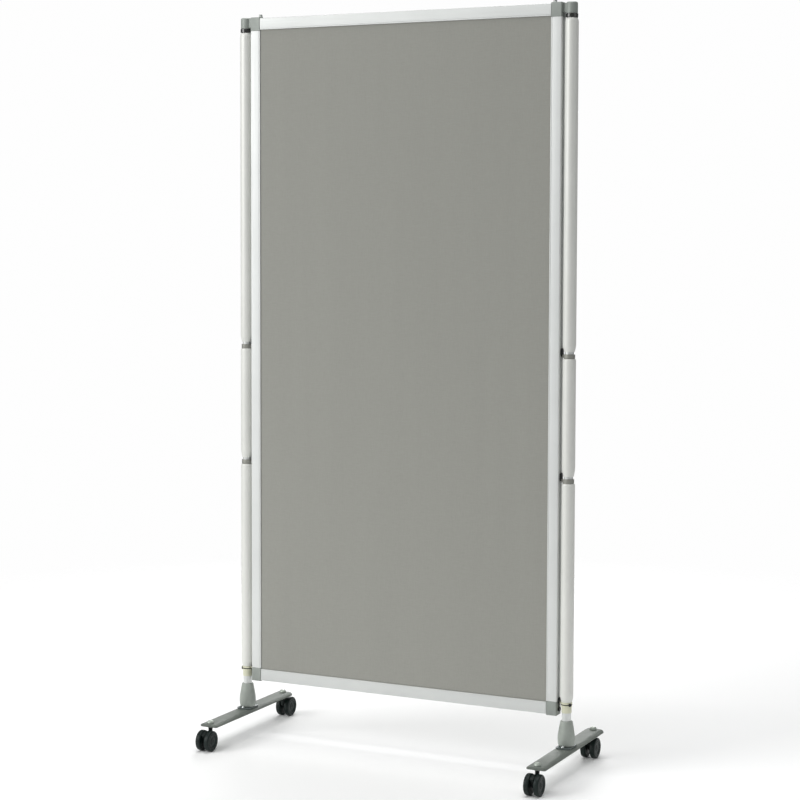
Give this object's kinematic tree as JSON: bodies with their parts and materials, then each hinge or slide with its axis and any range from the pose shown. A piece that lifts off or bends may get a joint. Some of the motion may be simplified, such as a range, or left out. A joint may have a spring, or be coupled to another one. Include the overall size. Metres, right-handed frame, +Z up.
{
  "type": "mobile partition wall",
  "caption": "Tall fabric-faced partition panel in a slim metal frame, hung between round posts on foot bars with swivel casters.",
  "frame": {"origin": "on the floor under the middle of the panel", "axes": "+Z up, X along the panel, the front face looks towards -Y"},
  "size_m": [0.913, 0.448, 1.808],
  "materials": {
    "board": "pressed board core, hidden under the cloth",
    "front_cloth": "fine plain weave, warm grey",
    "back_cloth": "fine plain weave, warm grey",
    "frame": "satin anodised, near white",
    "corner": "satin light grey casting",
    "stud": "satin",
    "lug": "matt black",
    "bush": "cream nylon",
    "shaft": "bright drawn tube",
    "sleeve": "satin anodised",
    "cone": "satin grey casting",
    "plate": "satin dark grey",
    "foot": "satin grey",
    "bolt": "bright",
    "socket": "satin",
    "stem": "black",
    "caster_body": "black moulding",
    "wheel": "black moulding"
  },
  "bodies": {
    "panel": {"board_core": "board", "front_fabric": "front_cloth", "back_fabric": "back_cloth", "top_rail": "frame", "bottom_rail": "frame", "left_stile": "frame", "left_top_corner_fitting": "corner", "left_bottom_corner_block": "corner", "left_top_stud": "stud", "left_upper_hinge_lug": "lug", "left_lower_hinge_lug": "lug", "left_bottom_hinge_lug": "lug", "left_nylon_bush": "bush", "right_stile": "frame", "right_top_corner_fitting": "corner", "right_bottom_corner_block": "corner", "right_top_stud": "stud", "right_upper_hinge_lug": "lug", "right_lower_hinge_lug": "lug", "right_bottom_hinge_lug": "lug", "right_nylon_bush": "bush"},
    "left_post": {"left_post_shaft": "shaft", "left_upper_sleeve": "sleeve", "left_middle_sleeve": "sleeve", "left_lower_sleeve": "sleeve", "left_cone_socket": "cone", "left_saddle_plate": "plate", "left_foot_bar": "foot", "left_front_bolt": "bolt", "left_rear_bolt": "bolt", "left_front_caster_socket": "socket", "left_rear_caster_socket": "socket"},
    "left_front_caster": {"left_front_caster_stem": "stem", "left_front_caster_body": "caster_body"},
    "left_front_outer_wheel": {"left_front_outer_wheel": "wheel"},
    "left_front_inner_wheel": {"left_front_inner_wheel": "wheel"},
    "left_rear_caster": {"left_rear_caster_stem": "stem", "left_rear_caster_body": "caster_body"},
    "left_rear_outer_wheel": {"left_rear_outer_wheel": "wheel"},
    "left_rear_inner_wheel": {"left_rear_inner_wheel": "wheel"},
    "right_post": {"right_post_shaft": "shaft", "right_upper_sleeve": "sleeve", "right_middle_sleeve": "sleeve", "right_lower_sleeve": "sleeve", "right_cone_socket": "cone", "right_saddle_plate": "plate", "right_foot_bar": "foot", "right_front_bolt": "bolt", "right_rear_bolt": "bolt", "right_front_caster_socket": "socket", "right_rear_caster_socket": "socket"},
    "right_front_caster": {"right_front_caster_stem": "stem", "right_front_caster_body": "caster_body"},
    "right_front_outer_wheel": {"right_front_outer_wheel": "wheel"},
    "right_front_inner_wheel": {"right_front_inner_wheel": "wheel"},
    "right_rear_caster": {"right_rear_caster_stem": "stem", "right_rear_caster_body": "caster_body"},
    "right_rear_outer_wheel": {"right_rear_outer_wheel": "wheel"},
    "right_rear_inner_wheel": {"right_rear_inner_wheel": "wheel"}
  },
  "joints": [
    {"name": "left_post_swivel", "type": "hinge", "parent": "panel", "child": "left_post", "pos_m": [-0.4325, 0, 0.984], "axis": [0, 0, 1], "range_deg": [-90, 90]},
    {"name": "left_front_caster_swivel", "type": "hinge", "parent": "left_post", "child": "left_front_caster", "pos_m": [-0.4325, -0.181, 0.053], "axis": [0, 0, 1], "continuous": true},
    {"name": "left_front_outer_wheel_spin", "type": "hinge", "parent": "left_front_caster", "child": "left_front_outer_wheel", "pos_m": [-0.4445, -0.199, 0.025], "axis": [1, 0, 0], "continuous": true},
    {"name": "left_front_inner_wheel_spin", "type": "hinge", "parent": "left_front_caster", "child": "left_front_inner_wheel", "pos_m": [-0.4205, -0.199, 0.025], "axis": [1, 0, 0], "continuous": true},
    {"name": "left_rear_caster_swivel", "type": "hinge", "parent": "left_post", "child": "left_rear_caster", "pos_m": [-0.4325, 0.181, 0.053], "axis": [0, 0, 1], "continuous": true},
    {"name": "left_rear_outer_wheel_spin", "type": "hinge", "parent": "left_rear_caster", "child": "left_rear_outer_wheel", "pos_m": [-0.4445, 0.199, 0.025], "axis": [1, 0, 0], "continuous": true},
    {"name": "left_rear_inner_wheel_spin", "type": "hinge", "parent": "left_rear_caster", "child": "left_rear_inner_wheel", "pos_m": [-0.4205, 0.199, 0.025], "axis": [1, 0, 0], "continuous": true},
    {"name": "right_post_swivel", "type": "hinge", "parent": "panel", "child": "right_post", "pos_m": [0.4325, 0, 0.984], "axis": [0, 0, 1], "range_deg": [-90, 90]},
    {"name": "right_front_caster_swivel", "type": "hinge", "parent": "right_post", "child": "right_front_caster", "pos_m": [0.4325, -0.181, 0.053], "axis": [0, 0, 1], "continuous": true},
    {"name": "right_front_outer_wheel_spin", "type": "hinge", "parent": "right_front_caster", "child": "right_front_outer_wheel", "pos_m": [0.4445, -0.199, 0.025], "axis": [1, 0, 0], "continuous": true},
    {"name": "right_front_inner_wheel_spin", "type": "hinge", "parent": "right_front_caster", "child": "right_front_inner_wheel", "pos_m": [0.4205, -0.199, 0.025], "axis": [1, 0, 0], "continuous": true},
    {"name": "right_rear_caster_swivel", "type": "hinge", "parent": "right_post", "child": "right_rear_caster", "pos_m": [0.4325, 0.181, 0.053], "axis": [0, 0, 1], "continuous": true},
    {"name": "right_rear_outer_wheel_spin", "type": "hinge", "parent": "right_rear_caster", "child": "right_rear_outer_wheel", "pos_m": [0.4445, 0.163, 0.025], "axis": [1, 0, 0], "continuous": true},
    {"name": "right_rear_inner_wheel_spin", "type": "hinge", "parent": "right_rear_caster", "child": "right_rear_inner_wheel", "pos_m": [0.4205, 0.163, 0.025], "axis": [1, 0, 0], "continuous": true}
  ]
}
